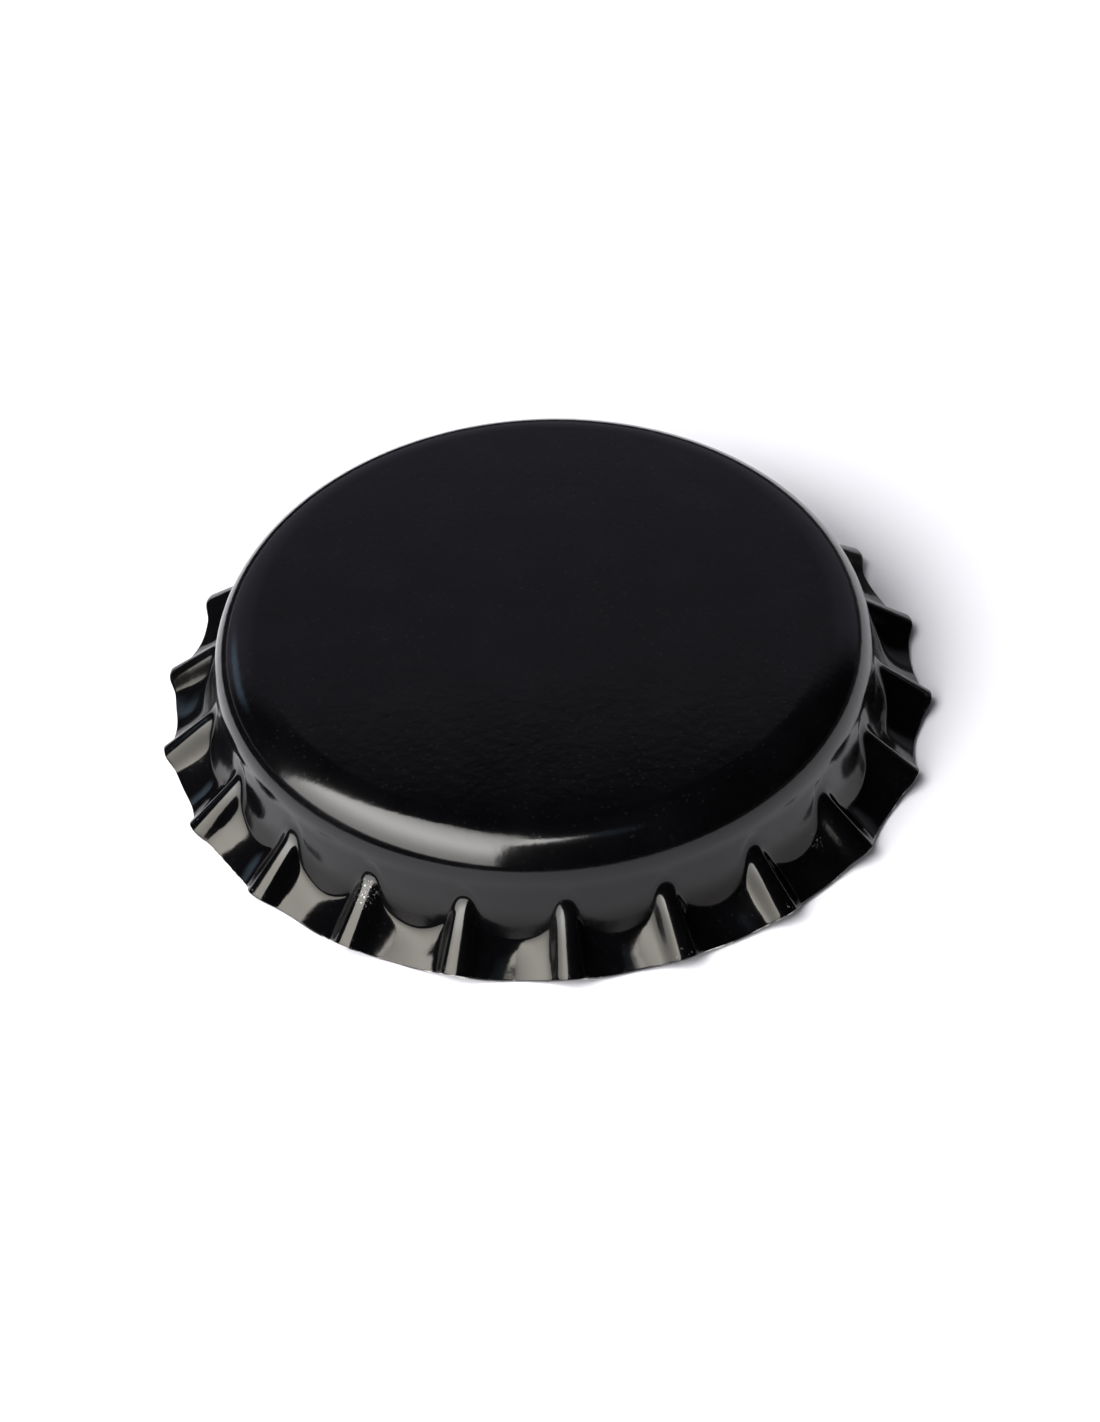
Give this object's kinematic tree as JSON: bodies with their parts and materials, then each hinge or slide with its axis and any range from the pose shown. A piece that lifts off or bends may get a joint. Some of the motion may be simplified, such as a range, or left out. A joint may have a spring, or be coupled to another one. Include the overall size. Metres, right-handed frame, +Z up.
{
  "type": "bottle cap",
  "caption": "Crown bottle cap: a round pressed steel shell in black lacquer, with a domed top, a round shoulder and a fluted flared skirt, and a sealing liner inside.",
  "frame": {"origin": "on the table under the middle of the cap, which stands on the cut edge of its skirt", "axes": "+Z up along the cap's axis, out through the top; +X through the crest of one ridge"},
  "size_m": [0.0319, 0.032, 0.006],
  "materials": {
    "black_lacquer": "gloss",
    "liner_compound": "satin"
  },
  "bodies": {
    "root": {"crown_shell": "black_lacquer", "liner": "liner_compound"}
  },
  "joints": []
}
